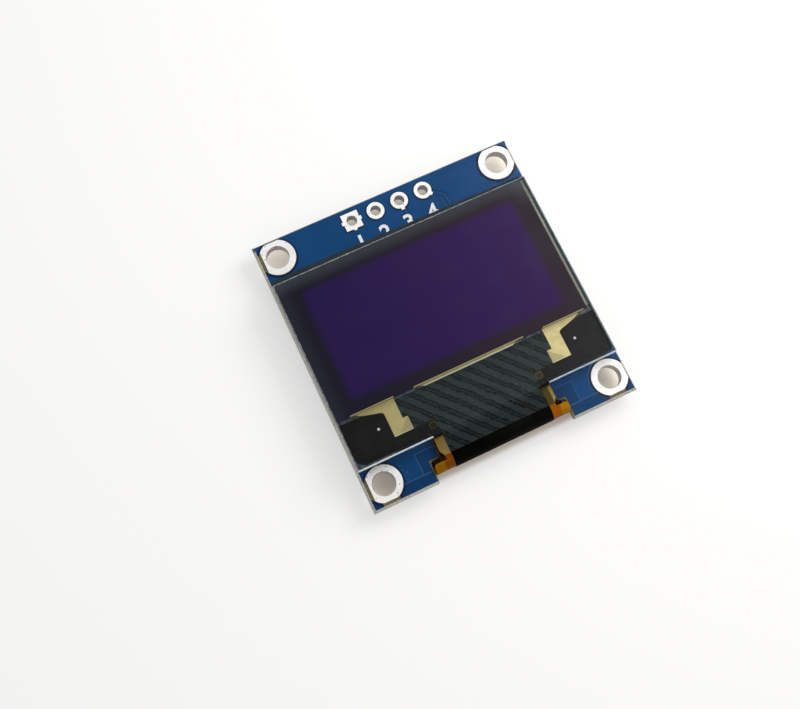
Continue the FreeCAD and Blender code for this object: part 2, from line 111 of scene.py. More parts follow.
def vary(tree, base, mask, amount):
    return plus(tree, times(tree, mask, amount), base)


def split(tree, vector):
    return put(tree, "SeparateXYZ", {0: vector}).outputs


def vectorSums(tree, operation, first, second=(0.0, 0.0, 0.0)):
    node = put(tree, "VectorMath", {0: first, 1: second}, operation=operation)
    return node.outputs["Value" if operation in ("LENGTH", "DOT_PRODUCT") else "Vector"]


def ease(tree, value, low, high, toLow=0.0, toHigh=1.0):
    limits = {0: value, 1: low, 2: high, 3: toLow, 4: toHigh}
    return put(tree, "MapRange", limits, interpolation_type="SMOOTHSTEP").outputs[0]


def tint(tree, amount, first, second):
    node = put(tree, "Mix", data_type="RGBA")
    for index, value in ((0, amount), (6, first), (7, second)):
        if isinstance(value, bpy.types.NodeSocket):
            tree.links.new(value, node.inputs[index])
        elif index == 0:
            node.inputs[index].default_value = value
        else:
            node.inputs[index].default_value = (*value, 1.0)
    return node.outputs[2]


def relief(tree, height, depth):
    return put(tree, "Bump", {"Height": height, "Distance": depth * mm, "Strength": 1.0}).outputs["Normal"]


def makeGroup(name, inputs, outputs):
    tree = bpy.data.node_groups.new(name, "ShaderNodeTree")
    kinds = {"value": "NodeSocketFloat", "vector": "NodeSocketVector"}
    for label, kind, value in inputs:
        socket = tree.interface.new_socket(label, in_out="INPUT", socket_type=kinds[kind])
        socket.default_value = value
    for label, kind in outputs:
        tree.interface.new_socket(label, in_out="OUTPUT", socket_type=kinds[kind])
    return tree, tree.nodes.new("NodeGroupInput").outputs, tree.nodes.new("NodeGroupOutput")


def use(tree, group, inputs=None):
    node = tree.nodes.new("ShaderNodeGroup")
    node.node_tree = group
    feed(tree, node, inputs or {})
    return node.outputs


# effects that several finishes share

def makePlaceGroup():
    tree, _, result = makeGroup("placeOnBoard", [], [("Place", "vector")])
    spot = put(tree, "TexCoord").outputs["Object"]
    scaled = put(tree, "VectorMath", {0: spot, "Scale": 1000.0}, operation="SCALE")
    feed(tree, result, {"Place": scaled.outputs["Vector"]})
    return tree


def makeGrainGroup():
    tree, given, result = makeGroup(
        "softGrain",
        [("Place", "vector", (0, 0, 0)), ("Size", "value", 1.0), ("Detail", "value", 3.0),
         ("Low", "value", 0.35), ("High", "value", 0.65)],
        [("Mask", "value")],
    )
    scale = sums(tree, "DIVIDE", 1.0, given["Size"])
    noise = put(tree, "TexNoise", {"Vector": given["Place"], "Scale": scale, "Detail": given["Detail"]})
    mask = ease(tree, noise.outputs[0], given["Low"], given["High"])
    feed(tree, result, {"Mask": mask})
    return tree


def makeSpeckGroup():
    tree, given, result = makeGroup(
        "fineSpecks",
        [("Place", "vector", (0, 0, 0)), ("Pitch", "value", 1.0), ("Radius", "value", 0.1),
         ("Share", "value", 0.2)],
        [("Mask", "value")],
    )
    scale = sums(tree, "DIVIDE", 1.0, given["Pitch"])
    cells = put(tree, "TexVoronoi", {"Vector": given["Place"], "Scale": scale}, voronoi_dimensions="2D")
    away = times(tree, cells.outputs["Distance"], given["Pitch"])
    edge = ease(tree, away, times(tree, given["Radius"], 0.5), given["Radius"])
    near = minus(tree, 1.0, edge)
    pick = put(tree, "SeparateColor", {0: cells.outputs["Color"]}).outputs[0]
    chosen = sums(tree, "LESS_THAN", pick, given["Share"])
    feed(tree, result, {"Mask": times(tree, near, chosen)})
    return tree


def makeRunGroup():
    tree, given, result = makeGroup(
        "copperRun",
        [("Place", "vector", (0, 0, 0)), ("Start", "vector", (0, 0, 0)), ("End", "vector", (1, 0, 0)),
         ("Half Width", "value", 0.12), ("Gap", "value", 0.15), ("Softness", "value", 0.03)],
        [("Core", "value"), ("Clear", "value")],
    )
    flat = vectorSums(tree, "MULTIPLY", given["Place"], (1.0, 1.0, 0.0))
    reach = vectorSums(tree, "SUBTRACT", flat, given["Start"])
    run = vectorSums(tree, "SUBTRACT", given["End"], given["Start"])
    along = sums(tree, "DIVIDE", vectorSums(tree, "DOT_PRODUCT", reach, run),
                 vectorSums(tree, "DOT_PRODUCT", run, run), clamp=True)
    foot = put(tree, "VectorMath", {0: run, "Scale": along}, operation="SCALE").outputs["Vector"]
    away = vectorSums(tree, "LENGTH", vectorSums(tree, "SUBTRACT", reach, foot))
    outer = plus(tree, given["Half Width"], given["Gap"])
    masks = []
    for limit in (given["Half Width"], outer):
        low = minus(tree, limit, given["Softness"])
        high = plus(tree, limit, given["Softness"])
        masks.append(minus(tree, 1.0, ease(tree, away, low, high)))
    feed(tree, result, {"Core": masks[0], "Clear": masks[1]})
    return tree


def makeAreaGroup():
    tree, given, result = makeGroup(
        "roundedArea",
        [("Place", "vector", (0, 0, 0)), ("Middle", "vector", (0, 0, 0)), ("Half Size", "vector", (1, 1, 1)),
         ("Corner", "value", 0.1), ("Softness", "value", 0.03), ("Line Width", "value", 0.1)],
        [("Inside", "value"), ("Line", "value")],
    )
    flat = vectorSums(tree, "MULTIPLY", given["Place"], (1.0, 1.0, 0.0))
    away = vectorSums(tree, "ABSOLUTE", vectorSums(tree, "SUBTRACT", flat, given["Middle"]))
    inner = vectorSums(tree, "SUBTRACT", away, given["Half Size"])
    over = [plus(tree, part, given["Corner"]) for part in split(tree, inner)[:2]]
    positive = [sums(tree, "MAXIMUM", part, 0.0) for part in over]
    corner = put(tree, "CombineXYZ", {0: positive[0], 1: positive[1]}).outputs[0]
    outside = vectorSums(tree, "LENGTH", corner)
    deepest = sums(tree, "MINIMUM", sums(tree, "MAXIMUM", over[0], over[1]), 0.0)
    distance = minus(tree, plus(tree, outside, deepest), given["Corner"])
    low = times(tree, given["Softness"], -1.0)
    inside = minus(tree, 1.0, ease(tree, distance, low, given["Softness"]))
    edge = sums(tree, "ABSOLUTE", distance)
    halfLine = times(tree, given["Line Width"], 0.5)
    fade = plus(tree, halfLine, given["Softness"])
    line = minus(tree, 1.0, ease(tree, edge, halfLine, fade))
    feed(tree, result, {"Inside": inside, "Line": line})
    return tree


placeGroup = makePlaceGroup()
grainGroup = makeGrainGroup()
speckGroup = makeSpeckGroup()
runGroup = makeRunGroup()
areaGroup = makeAreaGroup()
print("effects ready")


def grainMask(tree, place, size, detail, low=0.35, high=0.65):
    inputs = {"Place": place, "Size": size, "Detail": detail, "Low": low, "High": high}
    return use(tree, grainGroup, inputs)["Mask"]


def speckMask(tree, place, pitch, radius, share):
    inputs = {"Place": place, "Pitch": pitch, "Radius": radius, "Share": share}
    return use(tree, speckGroup, inputs)["Mask"]


def runMasks(tree, place, start, end, half, gap=0.15, softness=0.03):
    return use(tree, runGroup, {"Place": place, "Start": (*start, 0), "End": (*end, 0),
                                "Half Width": half, "Gap": gap, "Softness": softness})


def dotMask(tree, place, x, y, radius, softness=0.04, length=0.01):
    return runMasks(tree, place, (x, y), (x + length, y), radius, softness=softness)["Core"]


def areaMasks(tree, place, area, corner, softness=0.03, line=0.1):
    x, y, halfX, halfY = area  # middle and half size in mm
    return use(tree, areaGroup, {"Place": place, "Middle": (x, y, 0), "Half Size": (halfX, halfY, 0),
                                 "Corner": corner, "Softness": softness, "Line Width": line})


def newFinish(name):
    material = bpy.data.materials.new(name)
    material.use_nodes = True
    tree = material.node_tree
    place = use(tree, placeGroup)["Place"]
    return material, tree, tree.nodes["Principled BSDF"], place


def strongest(tree, masks):
    total = masks[0] if masks else 0.0
    for mask in masks[1:]:
        total = sums(tree, "MAXIMUM", total, mask)
    return total


def dress(material, *names):
    for name in names:
        for slot in nodes[name].material_slots:
            slot.material = material


def facingUp(tree):  # 1 on level faces, 0 on upright ones
    return sums(tree, "ABSOLUTE", split(tree, put(tree, "TexCoord").outputs["Normal"])[2])


def allNodes(start, end=""):
    return [name for name in sorted(nodes) if name.startswith(start) and name.endswith(end)]


# board

coatLook = {
    "pour": (0.0030, 0.056, 0.180),
    "lower": (0.0026, 0.041, 0.132),
    "bare": (0.0020, 0.032, 0.104),
    "shade": (0.001, 0.008, 0.03),
    "clearanceShadowTone": (0.0015, 0.008, 0.024),
    # pale tone for vias, pits and arcs, and for the painted highlight along the lowered copper's outline
    "line": (0.12, 0.25, 0.42),
    "print": (0.78, 0.78, 0.77),
    "relief": 0.006,
    "roughness": 0.17,
}
mountPlaces = [(-11.75, 12.0), (11.75, 12.0), (-11.75, -11.8), (11.75, -11.8)]
headerPlaces = (-3.76, -1.22, 1.32, 3.86)
frontCopper = {
    "pour": (0.0, -1.0, 14.2, 14.15),  # middle and half size in mm
    "lower": [(-7.05, -11.65, 1.05, 1.05), (7.15, -11.65, 1.05, 1.05), (0.0, -13.65, 14.2, 1.0)],
    "runs": [
        ((4.2, 12.2), (5.55, 11.1), 0.15),
        ((5.55, 11.1), (5.75, 9.0), 0.15),
        ((1.4, 12.2), (1.5, 9.0), 0.14),
    ],
    "arcs": [(11.75, -11.8)],
    "clearanceShadows": [(x - 0.04, y - 0.05, 1.99) for x, y in mountPlaces]
    + [(x - 0.04, 12.36, 1.0) for x in headerPlaces[1:]],  # middle and radius
    "squares": [(-3.80, 12.36, 0.98)],
    # strength of the painted highlight along the lowered copper's outline
    "outline": 0.20,
    "parts": [],
    "vias": [(-9.75, -10.95), (-9.72, -11.35), (-9.45, -11.75), (-9.7, -11.95), (-9.6, -12.4)],
}
backCopper = {
    "pour": (0.0, 0.0, 13.2, 13.5),
    "lower": [(-11.2, -0.2, 1.1, 5.4), (11.6, -3.2, 0.9, 3.4)],
    "runs": [
        ((-3.76, 12.4), (-3.76, 9.6), 0.2), ((-3.76, 9.6), (-5.45, 7.9), 0.2),
        ((-1.22, 12.4), (-1.22, 9.3), 0.16), ((-1.22, 9.3), (-2.9, 7.7), 0.16),
        ((1.32, 12.4), (1.6, 8.8), 0.12), ((3.86, 12.4), (3.8, 8.8), 0.12),
        ((1.6, 6.4), (1.6, 1.2), 0.1), ((1.6, 1.2), (-0.9, -1.3), 0.1), ((-0.9, -1.3), (-0.9, -6.3), 0.1),
        ((3.8, 6.4), (3.8, 0.9), 0.1), ((3.8, 0.9), (1.0, -1.9), 0.1), ((1.0, -1.9), (1.0, -6.3), 0.1),
        ((5.5, 3.6), (4.9, 3.0), 0.1), ((4.9, 3.0), (4.9, -6.3), 0.1),
        ((-8.6, -3.7), (-8.6, -6.3), 0.14), ((-5.6, -3.7), (-5.6, -6.3), 0.14),
        ((-2.6, -3.7), (-2.6, -6.3), 0.14), ((3.4, -3.7), (3.4, -6.3), 0.14),
        ((6.4, -3.7), (6.4, -6.3), 0.14), ((8.8, 8.2), (9.9, 7.1), 0.12), ((9.9, 7.1), (9.9, 4.2), 0.12),
    ],
    "arcs": [],
    "clearanceShadows": [(x, y, 1.92) for x, y in mountPlaces],
    "squares": [],
    # strength of the painted highlight along the lowered copper's outline
    "outline": 0.10,
    "vias": [(-8.3, 3.4), (-0.4, 3.9), (8.9, 5.7), (-4.2, 1.1), (7.9, -4.9), (-11.5, 5.9), (11.6, 6.6),
             (-7.1, -4.9)],
    "parts": [
        (-10.2, 6.4, 0.66, 1.2), (-2.9, 6.6, 0.66, 1.2), (6.7, 1.2, 1.2, 0.66), (-8.6, -2.6, 0.66, 1.2),
        (-5.6, -2.6, 0.66, 1.2), (-2.6, -2.6, 0.66, 1.2), (3.4, -2.6, 0.66, 1.2), (1.6, 7.6, 0.66, 1.2),
        (3.8, 7.6, 0.66, 1.2), (7.6, 8.2, 1.2, 0.66), (6.7, 3.6, 1.2, 0.66), (6.4, -2.6, 0.66, 1.2),
        (-6.4, 6.6, 1.6, 0.85), (9.9, 2.4, 0.8, 1.7),
    ],
}


def coatFinish(name, copper):
    material, tree, shader, place = newFinish(name)
    spot = split(tree, place)
    pour = areaMasks(tree, place, copper["pour"], 0.3, 0.05, 0.06)["Line"]
    lowered = [areaMasks(tree, place, area, 0.02, 0.04, 0.05) for area in copper["lower"]]
    parts = [areaMasks(tree, place, area, 0.12, 0.02, 0.13)["Line"] for area in copper["parts"]]
    runs = [runMasks(tree, place, start, end, half, 0.13, 0.05) for start, end, half in copper["runs"]]
    vias = [dotMask(tree, place, x, y, 0.06, 0.05, 0.02) for x, y in copper["vias"]]
    core = strongest(tree, [run["Core"] for run in runs])
    gap = minus(tree, strongest(tree, [run["Clear"] for run in runs]), core, clamp=True)
    lower = strongest(tree, [area["Inside"] for area in lowered])
    copperMask = minus(tree, 1.0, sums(tree, "MAXIMUM", gap, times(tree, pour, 0.3)))
    colour = tint(tree, lower, coatLook["pour"], coatLook["lower"])
    colour = tint(tree, copperMask, coatLook["bare"], colour)

    # uneven coat, and painted shade that darkens it towards the lower left corner
    cloud = grainMask(tree, place, 5.0, 2.0)
    fine = grainMask(tree, place, 0.35, 4.0)
    shade = plus(tree, times(tree, cloud, 0.12), times(tree, fine, 0.07))
    shade = plus(tree, shade, ease(tree, plus(tree, spot[0], spot[1]), -24.0, -8.0, 0.18, 0.0))
    colour = tint(tree, shade, colour, coatLook["shade"])
    pits = speckMask(tree, place, 1.3, 0.05, 0.05)
    pale = sums(tree, "MAXIMUM", times(tree, strongest(tree, vias), 0.22), times(tree, pits, 0.3))
    colour = tint(tree, pale, colour, coatLook["line"])

    # rims of the openings, dark clearance rings with painted shadow, a painted highlight along the outlines
    # of the lowered copper, and print round the parts
    arcs = []
    for x, y in copper["arcs"]:
        band = minus(tree, dotMask(tree, place, x, y, 2.05), dotMask(tree, place, x, y, 1.97), clamp=True)
        arcs.append(times(tree, band, ease(tree, spot[0], x - 0.9, x + 0.2, 1.0, 0.0)))
    # dark clearance rings round the openings and pads; on the front they are set off towards the lower left
    # as a painted shadow
    clearanceShadows = [dotMask(tree, place, x, y, radius) for x, y, radius in copper["clearanceShadows"]]
    clearanceShadows += [areaMasks(tree, place, (x, y, half, half), 0.08)["Inside"] for x, y, half in copper["squares"]]
    # pale line round the lowered copper: a painted highlight of its edge
    outline = strongest(tree, [area["Line"] for area in lowered])
    colour = tint(tree, times(tree, strongest(tree, arcs), 0.5), colour, coatLook["line"])
    colour = tint(tree, times(tree, strongest(tree, clearanceShadows), 0.8), colour, coatLook["clearanceShadowTone"])
    colour = tint(tree, times(tree, outline, copper["outline"]), colour, coatLook["line"])
    colour = tint(tree, strongest(tree, parts), colour, coatLook["print"])
    level = plus(tree, minus(tree, copperMask, times(tree, lower, 0.45)), times(tree, fine, 0.05))
    feed(tree, shader, {
        "Base Color": colour,
        "Roughness": vary(tree, coatLook["roughness"], fine, 0.06),
        "Normal": relief(tree, level, coatLook["relief"]),
        "IOR": 1.5,
    })
    return material


laminateLook = {
    "face": (0.150, 0.128, 0.050),
    "score": (0.62, 0.61, 0.56),
    "wall": (0.36, 0.33, 0.22),
    "dark": (0.06, 0.05, 0.02),
    "stained": (0.020, 0.045, 0.085),  # the scored edge over the header holes
}


def laminateFinish():
    material, tree, shader, place = newFinish("laminate")
    up = facingUp(tree)
    flat = ease(tree, up, 0.85, 0.97)
    sloped = times(tree, ease(tree, up, 0.1, 0.3), minus(tree, 1.0, flat))
    stretched = vectorSums(tree, "MULTIPLY", place, (0.6, 0.6, 3.5))
    layers = grainMask(tree, stretched, 0.45, 4.0)
    fuzz = grainMask(tree, place, 0.16, 5.0, 0.3, 0.7)
    wall = tint(tree, layers, laminateLook["wall"], laminateLook["face"])
    face = tint(tree, times(tree, fuzz, 0.6), laminateLook["face"], laminateLook["dark"])
    score = tint(tree, times(tree, fuzz, 0.5), laminateLook["score"], laminateLook["face"])
    top = ease(tree, split(tree, place)[1], 13.3, 13.6, 0.0, 0.9)
    score = tint(tree, top, score, laminateLook["stained"])
    colour = tint(tree, sloped, wall, score)
    colour = tint(tree, flat, colour, face)
    feed(tree, shader, {
        "Base Color": colour,
        "Roughness": vary(tree, 0.55, fuzz, 0.2),
        "Normal": relief(tree, fuzz, 0.03),
    })
    return material


tinLook = {
    "bright": (0.96, 0.955, 0.94),
    # tone for wear, also used as painted shade on upright faces
    "wornAndShaded": (0.33, 0.28, 0.235),
    "pit": (0.10, 0.08, 0.07),
    "metal": 0.15,
    "roughness": 0.36,
}


def tinFinish():
    material, tree, shader, place = newFinish("brightTin")
    cloud = grainMask(tree, place, 0.9, 3.0, 0.42, 0.75)
    fine = grainMask(tree, place, 0.09, 4.0)
    pits = speckMask(tree, place, 0.5, 0.08, 0.22)
    colour = tint(tree, times(tree, cloud, 0.18), tinLook["bright"], tinLook["wornAndShaded"])
    colour = tint(tree, times(tree, pits, 0.7), colour, tinLook["pit"])
    # upright faces, such as the walls of the holes, are painted darker as shade
    colour = tint(tree, ease(tree, facingUp(tree), 0.2, 0.7, 0.75, 0.0), colour, tinLook["wornAndShaded"])
    height = plus(tree, times(tree, cloud, 0.6), times(tree, fine, 0.25))
    feed(tree, shader, {
        "Base Color": colour,
        "Metallic": tinLook["metal"],
        "Roughness": vary(tree, tinLook["roughness"], cloud, 0.18),
        "Normal": relief(tree, height, 0.02),
    })
    return material


# panel

filmMiddle = 0.04  # x of the film's middle in mm
glassLook = {
    "tone": (0.93, 0.96, 0.955),
    "shadow": (0.90, 0.92, 0.92),
    # edge tones: a painted highlight on the lower rim, and a darker painted shade copy on the other rims
    "edge": ((0.55, 0.58, 0.58), (0.82, 0.85, 0.86)),
    "shadedEdgeTones": ((0.10, 0.115, 0.12), (0.30, 0.33, 0.33)),
    "thinEdge": ((0.022, 0.033, 0.033), (0.016, 0.024, 0.024)),
    "rightEnd": (0.12, 0.17, 0.22),
    "roughness": 0.01,
    "gap": 0.004,  # air left over the film and under the polarizer
    "rim": 0.12,
    "foot": 1.0,  # the ledge's rim lies within this of the lower edge
    "cuts": (-5.96, -5.05, 5.13, 6.04),  # where the rim's finish changes
    "filmHalf": 6.0,
    "fieldHalf": 5.09,
}


def passLight(tree, shader, colour):  # shadows and bounced light go straight through
    through = put(tree, "BsdfTransparent", {"Color": (*colour, 1.0)})
    path = put(tree, "LightPath").outputs
    soft = sums(tree, "MAXIMUM", path["Is Shadow Ray"], path["Is Diffuse Ray"])
    mix = put(tree, "MixShader", {0: soft, 1: shader.outputs[0], 2: through.outputs[0]})
    tree.links.new(mix.outputs[0], tree.nodes["Material Output"].inputs["Surface"])


def clearGlassFinish():
    material, tree, shader, place = newFinish("clearGlass")
    smear = grainMask(tree, place, 2.2, 3.0)
    feed(tree, shader, {
        "Base Color": (*glassLook["tone"], 1.0),
        "Roughness": vary(tree, glassLook["roughness"], smear, 0.03),
        "IOR": 1.5,
        "Transmission Weight": 1.0,
    })
    passLight(tree, shader, glassLook["shadow"])
    return material


def groundGlassFinish(name, tones):
    material, tree, shader, place = newFinish(name)
    stretched = vectorSums(tree, "MULTIPLY", place, (1.0, 1.0, 4.0))
    chips = grainMask(tree, stretched, 0.3, 5.0, 0.3, 0.7)
    # both edge finishes are painted a darker blue towards the right end
    right = ease(tree, split(tree, place)[0], 2.0, 8.0, 0.0, 0.35)
    feed(tree, shader, {
        "Base Color": tint(tree, right, tint(tree, chips, *tones), glassLook["rightEnd"]),
        "Roughness": vary(tree, 0.18, chips, 0.3),
        "Normal": relief(tree, chips, 0.02),
        "IOR": 1.5,
    })
    return material


def thinEdgeFinish():  # the rim over the striped field is nearly clear
    material, tree, shader, place = newFinish("thinGlassEdge")
    smear = grainMask(tree, place, 0.8, 3.0)
    feed(tree, shader, {
        "Base Color": tint(tree, smear, *glassLook["thinEdge"]),
        "Roughness": vary(tree, 0.3, smear, 0.1),
        "Specular IOR Level": 0.1,
        "Alpha": 0.06,
    })
    return material


def cut(shape, place, direction):
    everything = shape.verts[:] + shape.edges[:] + shape.faces[:]
    bmesh.ops.bisect_plane(shape, geom=everything, plane_co=place, plane_no=direction)


def toMesh(name, shape):
    mesh = bpy.data.meshes.new(name)
    shape.to_mesh(mesh)
    shape.free()
    return mesh


def placePiece(name, mesh, material, replaced=()):
    piece = bpy.data.objects.new(name, mesh)
    bpy.context.collection.objects.link(piece)
    if not piece.material_slots:
        mesh.materials.append(material)
    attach(piece, "root")
    if replaced:
        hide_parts(*replaced)
    return piece


def glassFinishAt(face, foot):
    if abs(face.normal.z) > 0.98:
        return "clear"
    # rims away from the lower edge take the painted shade; the lower rim takes the painted highlight, except
    # over the film
    if face.center.y >= foot:
        return "shadedRim"
    beside = abs(face.center.x / mm - filmMiddle)
    if beside >= glassLook["filmHalf"]:
        return "ground"
    # over the film's margins the rim is dressed in black ink as painted shade, since the film blocks the
    # light there
    return "dark" if beside > glassLook["fieldHalf"] else "thin"


def makeDisplayGlass(finishes):
    low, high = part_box("front_glass")
    gap = Vector((0, 0, glassLook["gap"] * mm))
    low, high = low + gap, high - gap
    middle, size = (low + high) / 2, high - low
    shape = bmesh.new()
    bmesh.ops.create_cube(shape, size=1.0)
    for point in shape.verts:
        point.co = Vector([middle[i] + point.co[i] * size[i] for i in range(3)])
    bmesh.ops.bevel(shape, geom=list(shape.edges), offset=glassLook["rim"] * mm, segments=2, profile=0.6,
                    affect="EDGES")
    for x in glassLook["cuts"]:
        cut(shape, (x * mm, 0, 0), (1, 0, 0))
    mesh = toMesh("displayGlass", shape)
    for material in finishes.values():
        mesh.materials.append(material)
    names = list(finishes)
    for face in mesh.polygons:
        face.material_index = names.index(glassFinishAt(face, low.y + glassLook["foot"] * mm))
    glass = placePiece("displayGlass", mesh, finishes["clear"], ["front_glass"])


displayLook = {
    "border": (0.0110, 0.0102, 0.0195),
    "borderRightPaintedLight": (0.0270, 0.0170, 0.0260),
    "lit": (0.0175, 0.0085, 0.0610),
    "litRightPaintedLight": (0.0330, 0.0125, 0.0760),
    "litCloud": (0.030, 0.010, 0.062),
    "litRows": (0.010, 0.006, 0.030),
    "litArea": (-0.26, 1.79, 11.0, 5.59),
    "softness": 0.45,
    "sheen": (0.050, 0.062, 0.070),
    "strip": (0.32, 0.275, 0.12),
    "footLine": (0.006, 0.006, 0.005),
    "dust": (0.3, 0.3, 0.35),
    "shadow": (0.75, 0.74, 0.78),
    "roughness": 0.10,
}


def polarizerFinish():
    material, tree, shader, place = newFinish("polarizerFilm")
    x, y = split(tree, place)[:2]
    low, high = [tuple(value / mm for value in corner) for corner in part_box("polarizer")]
    lit = areaMasks(tree, place, displayLook["litArea"], 0.5, displayLook["softness"])["Inside"]
    # painted light: border and active area are lighter towards the right
    right = ease(tree, x, -12.0, 13.0)
    cloud = grainMask(tree, place, 4.5, 2.0)
    rows = put(tree, "TexWave", {"Vector": place, "Scale": 0.75, "Distortion": 0.0}, bands_direction="Y")
    litColour = tint(tree, right, displayLook["lit"], displayLook["litRightPaintedLight"])
    litColour = tint(tree, times(tree, cloud, 0.2), litColour, displayLook["litCloud"])
    litColour = tint(tree, times(tree, rows.outputs[0], 0.05), litColour, displayLook["litRows"])
    border = tint(tree, right, displayLook["border"], displayLook["borderRightPaintedLight"])

    # painted grey sheen along the top, at the upper right and down the left
    top = times(tree, ease(tree, y, high[1] - 1.5, high[1] - 0.05), 0.55)
    corner = times(tree, ease(tree, x, high[0] - 1.6, high[0] - 0.1), ease(tree, y, 5.6, 9.0))
    left = times(tree, ease(tree, x, low[0] + 1.6, low[0] + 0.1), 0.16)
    sheen = plus(tree, plus(tree, top, times(tree, corner, 0.6)), left, clamp=True)
    border = tint(tree, sheen, border, displayLook["sheen"])
    colour = tint(tree, lit, border, litColour)

    # the leads show as a gold strip along the foot, with a dark line below
    beside = farFrom(tree, x, filmMiddle)
    overLeads = times(tree, ease(tree, beside, 7.70, 7.80), ease(tree, beside, 12.0, 12.2, 1.0, 0.0))
    overLeads = sums(tree, "MAXIMUM", overLeads, ease(tree, beside, 5.60, 5.75, 1.0, 0.0))
    strip = times(tree, ease(tree, y, low[1] + 0.12, low[1] + 0.17, 1.0, 0.0), overLeads)
    footLine = ease(tree, y, low[1] + 0.02, low[1] + 0.05, 0.9, 0.0)
    colour = tint(tree, times(tree, strip, 0.9), colour, displayLook["strip"])
    colour = tint(tree, footLine, colour, displayLook["footLine"])
    dust = speckMask(tree, place, 1.9, 0.04, 0.12)
    colour = tint(tree, times(tree, dust, 0.12), colour, displayLook["dust"])
    smear = grainMask(tree, place, 3.0, 4.0)
    feed(tree, shader, {
        "Base Color": colour,
        "Roughness": vary(tree, displayLook["roughness"], smear, 0.05),
        "IOR": 1.5,
    })
    passLight(tree, shader, displayLook["shadow"])
    return material


sealLook = {
    "light": (0.26, 0.25, 0.22),
    "dark": (0.15, 0.145, 0.13),
    "lines": [  # x and width in mm, colour and strength, down the panel's right side; the white line and the outermost grey one are painted highlights of the panel's edges
        (12.745, 0.05, (0.66, 0.60, 0.34), 1.0),
        (12.805, 0.025, (0.02, 0.02, 0.02), 0.9),
        (12.865, 0.06, (0.86, 0.87, 0.84), 1.0),
        (12.95, 0.045, (0.03, 0.03, 0.04), 0.9),
        (13.04, 0.07, (0.17, 0.165, 0.18), 0.8),
    ],
}


def sealFinish():
    material, tree, shader, place = newFinish("sealResin")
    x, y = split(tree, place)[:2]
    grain = grainMask(tree, place, 0.35, 4.0)
    colour = tint(tree, grain, sealLook["light"], sealLook["dark"])
    lower = ease(tree, y, 4.0, 8.5, 1.0, 0.25)
    across = plus(tree, x, times(tree, minus(tree, grain, 0.5), 0.015))
    for middle, width, tone, strength in sealLook["lines"]:
        line = ease(tree, farFrom(tree, across, middle), width * 0.6, width * 1.4, strength, 0.0)
        colour = tint(tree, times(tree, line, lower), colour, tone)
    feed(tree, shader, {
        "Base Color": colour,
        "Roughness": vary(tree, 0.35, grain, 0.2),
        "Normal": relief(tree, grain, 0.01),
    })
    return material


def makeSheets(name, outlines, low, high):
    shape = bmesh.new()
    for outline in outlines:
        rows = [[shape.verts.new((x * mm, y * mm, z * mm)) for x, y in outline] for z in (low, high)]
        shape.faces.new(rows[1])
        shape.faces.new(list(reversed(rows[0])))
        count = len(outline)
        for i in range(count):
            n = (i + 1) % count
            shape.faces.new((rows[0][i], rows[0][n], rows[1][n], rows[1][i]))
    bmesh.ops.recalc_face_normals(shape, faces=shape.faces[:])
    return toMesh(name, shape)


resinLook = {
    "tone": (0.048, 0.059, 0.079),
    "pale": (0.115, 0.128, 0.150),
    "low": 2.99,
    "high": 3.062,
    "inset": 0.03,
}


def resinFinish():
    material, tree, shader, place = newFinish("wetResin")
    streaks = vectorSums(tree, "MULTIPLY", place, (2.2, 0.7, 1.0))
    cloud = grainMask(tree, streaks, 0.5, 4.0, 0.4, 0.75)
    feed(tree, shader, {
        "Base Color": tint(tree, cloud, resinLook["tone"], resinLook["pale"]),
        "Roughness": vary(tree, 0.25, cloud, 0.25),
        "Normal": relief(tree, cloud, 0.01),
    })
    return material


def makeLedgeResin(material):
    low, high = [tuple(value / mm for value in corner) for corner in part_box("front_glass")]
    inset = resinLook["inset"]
    left, right, foot = low[0] + inset, high[0] - inset, low[1] + inset
    patches = [
        [(left, foot), (-9.5, foot), (-9.5, -9.70), (-12.52, -9.70), (-13.0, -9.45), (-13.3, -9.15),
         (left, -8.70)],
        [(left, -5.42), (-9.13, -5.42), (-9.13, -4.86), (left, -4.86)],
        [(9.21, -5.42), (right, -5.42), (right, -4.86), (9.21, -4.86)],
        [(-9.09, -5.34), (9.17, -5.34), (9.17, -4.86), (-9.09, -4.86)],
    ]
    mesh = makeSheets("ledgeResin", patches, resinLook["low"], resinLook["high"])
    resin = placePiece("ledgeResin", mesh, material)


tapeShape = {
    "outline": [(-13.4, 8.9), (13.1, 8.9), (13.1, 9.79), (4.0, 9.92), (-9.9, 10.05), (-13.4, 9.94)],
    "low": 2.302,
    "high": 2.34,
}


def makeTapeEdge(material):
    mesh = makeSheets("tapeEdge", [tapeShape["outline"]], tapeShape["low"], tapeShape["high"])
    tape = placePiece("tapeEdge", mesh, material)


